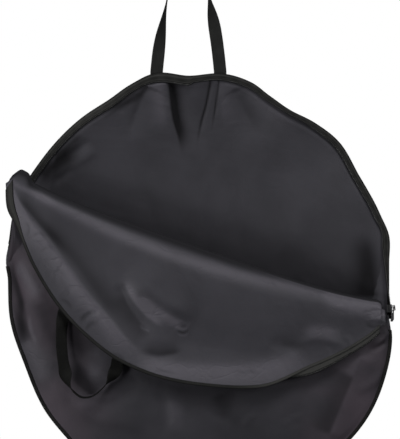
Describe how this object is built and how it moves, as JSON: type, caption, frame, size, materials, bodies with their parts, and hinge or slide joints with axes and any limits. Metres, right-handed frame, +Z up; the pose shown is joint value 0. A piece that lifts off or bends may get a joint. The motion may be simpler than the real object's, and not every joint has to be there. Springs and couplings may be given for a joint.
{
  "type": "bicycle wheel bag",
  "caption": "Soft round zipped bag for a bicycle wheel, hanging open from its back webbing handle with the upper front folded down over the pocket and a second handle on the fold.",
  "frame": {"origin": "the middle of the back handle's grip, on top, where a hand or hook holds the bag", "axes": "+Z up along the hanging bag, +X to the right seen from the front, -Y out of the bag's front"},
  "size_m": [0.7704, 0.1329, 1.0464],
  "materials": {
    "nylon": "thin woven black nylon with a slight sheen",
    "tape_cloth": "matt woven black tape",
    "webbing_cloth": "matt ribbed black webbing",
    "coil_plastic": "black nylon coil",
    "zip_metal": "dark lacquered metal"
  },
  "bodies": {
    "back_handle": {"back_handle": "webbing_cloth"},
    "bag": {"back_panel": "nylon", "pocket_panel": "nylon", "seam_binding": "tape_cloth", "rim_binding": "tape_cloth", "back_zip_tape": "tape_cloth", "back_zip_coil": "coil_plastic", "pocket_zip_tape": "tape_cloth", "pocket_zip_coil": "coil_plastic", "back_handle_foot_left": "webbing_cloth", "back_handle_foot_right": "webbing_cloth", "zip_stop_left": "zip_metal", "zip_stop_right": "zip_metal"},
    "flap": {"front_flap": "nylon", "flap_zip_tape": "tape_cloth", "flap_zip_coil": "coil_plastic", "front_handle_foot_left": "webbing_cloth", "front_handle_foot_right": "webbing_cloth"},
    "front_handle": {"front_handle": "webbing_cloth"},
    "slider": {"zip_slider": "zip_metal"},
    "pull": {"zip_pull": "zip_metal"}
  },
  "joints": [
    {"name": "bag_swing", "type": "hinge", "parent": "back_handle", "child": "bag", "pos_m": [-0.023, 0.0041, -0.19303], "axis": [1, 0, 0], "range_deg": [-80, 130]},
    {"name": "flap_fold", "type": "hinge", "parent": "bag", "child": "flap", "pos_m": [-0.36816, -0.045, -0.39583], "axis": [-0.9434, -0.0259, 0.3308], "range_deg": [0, 178]},
    {"name": "front_handle_swing", "type": "hinge", "parent": "flap", "child": "front_handle", "pos_m": [-0.21165, -0.04479, -0.71173], "axis": [0.7461, 0.0096, -0.6658], "range_deg": [0, 174]},
    {"name": "slider_run", "type": "slide", "parent": "bag", "child": "slider", "axis": [-0.1178, 0.0578, 0.9914], "range_m": [0, 0.105]},
    {"name": "pull_swing", "type": "hinge", "parent": "slider", "child": "pull", "pos_m": [0.37993, -0.01609, -0.65834], "axis": [-0.5446, -0.8387, 0], "range_deg": [0, 150]}
  ],
  "couplings": [
    {"joint": "front_handle_swing", "follows": "flap_fold", "ratio": 0.97}
  ]
}
